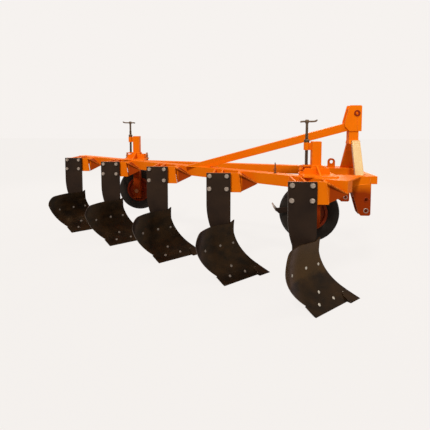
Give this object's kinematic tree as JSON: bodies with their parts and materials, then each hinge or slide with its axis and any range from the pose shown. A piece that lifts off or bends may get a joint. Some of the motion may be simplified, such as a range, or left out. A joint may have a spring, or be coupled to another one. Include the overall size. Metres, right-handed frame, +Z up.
{
  "type": "mounted mouldboard plough",
  "caption": "Mounted mouldboard plough with right-turning bodies on a diagonal beam, a three-point headstock and depth wheels on screw-set posts.",
  "frame": {"origin": "bottom centre of the bounding box, on the floor the shares and landsides stand on", "axes": "+X is the way it is pulled, +Y is its land side, its left seen from the tractor's seat, and +Z is up"},
  "size_m": [3.2128, 2.434, 1.417],
  "materials": {
    "frame_orange": "gloss",
    "rim_red": "gloss",
    "body_dark": "gloss",
    "tyre_rubber": "matte",
    "screw_steel": "satin"
  },
  "bodies": {
    "frame": {"main_beam": "frame_orange", "land_beam": "frame_orange", "rear_cross_member": "frame_orange", "front_hitch_tube": "frame_orange", "rail_right": "frame_orange", "rail_left": "frame_orange", "corner_plate": "frame_orange", "hitch_bracket_right": "frame_orange", "hitch_bracket_left": "frame_orange", "tower_leg_right": "frame_orange", "tower_leg_left": "frame_orange", "tower_head": "frame_orange", "top_brace": "frame_orange", "lifting_eye": "frame_orange", "holder_front": "frame_orange", "screw_front": "screw_steel", "holder_rear": "frame_orange", "screw_rear": "screw_steel", "bracket_1": "frame_orange", "leg_1": "body_dark", "mouldboard_1": "body_dark", "share_1": "body_dark", "landside_1": "body_dark", "bracket_2": "frame_orange", "leg_2": "body_dark", "mouldboard_2": "body_dark", "share_2": "body_dark", "landside_2": "body_dark", "bracket_3": "frame_orange", "leg_3": "body_dark", "mouldboard_3": "body_dark", "share_3": "body_dark", "landside_3": "body_dark", "bracket_4": "frame_orange", "leg_4": "body_dark", "mouldboard_4": "body_dark", "share_4": "body_dark", "landside_4": "body_dark", "bracket_5": "frame_orange", "leg_5": "body_dark", "mouldboard_5": "body_dark", "share_5": "body_dark", "landside_5": "body_dark"},
    "front_post": {"post_front": "frame_orange"},
    "rear_post": {"post_rear": "frame_orange"},
    "front_wheel": {"rim_front": "rim_red", "tyre_front": "tyre_rubber"},
    "rear_wheel": {"rim_rear": "rim_red", "tyre_rear": "tyre_rubber"}
  },
  "joints": [
    {"name": "front_post_height", "type": "slide", "parent": "frame", "child": "front_post", "axis": [0, 0, 1], "range_m": [-0.105, 0.045]},
    {"name": "front_wheel_spin", "type": "hinge", "parent": "front_post", "child": "front_wheel", "pos_m": [1.13338, -0.37307, 0.522], "axis": [0, 1, 0], "continuous": true},
    {"name": "rear_post_height", "type": "slide", "parent": "frame", "child": "rear_post", "axis": [0, 0, 1], "range_m": [-0.068, 0.082]},
    {"name": "rear_wheel_spin", "type": "hinge", "parent": "rear_post", "child": "rear_wheel", "pos_m": [-0.64363, 0.85193, 0.485], "axis": [0, 1, 0], "continuous": true}
  ]
}
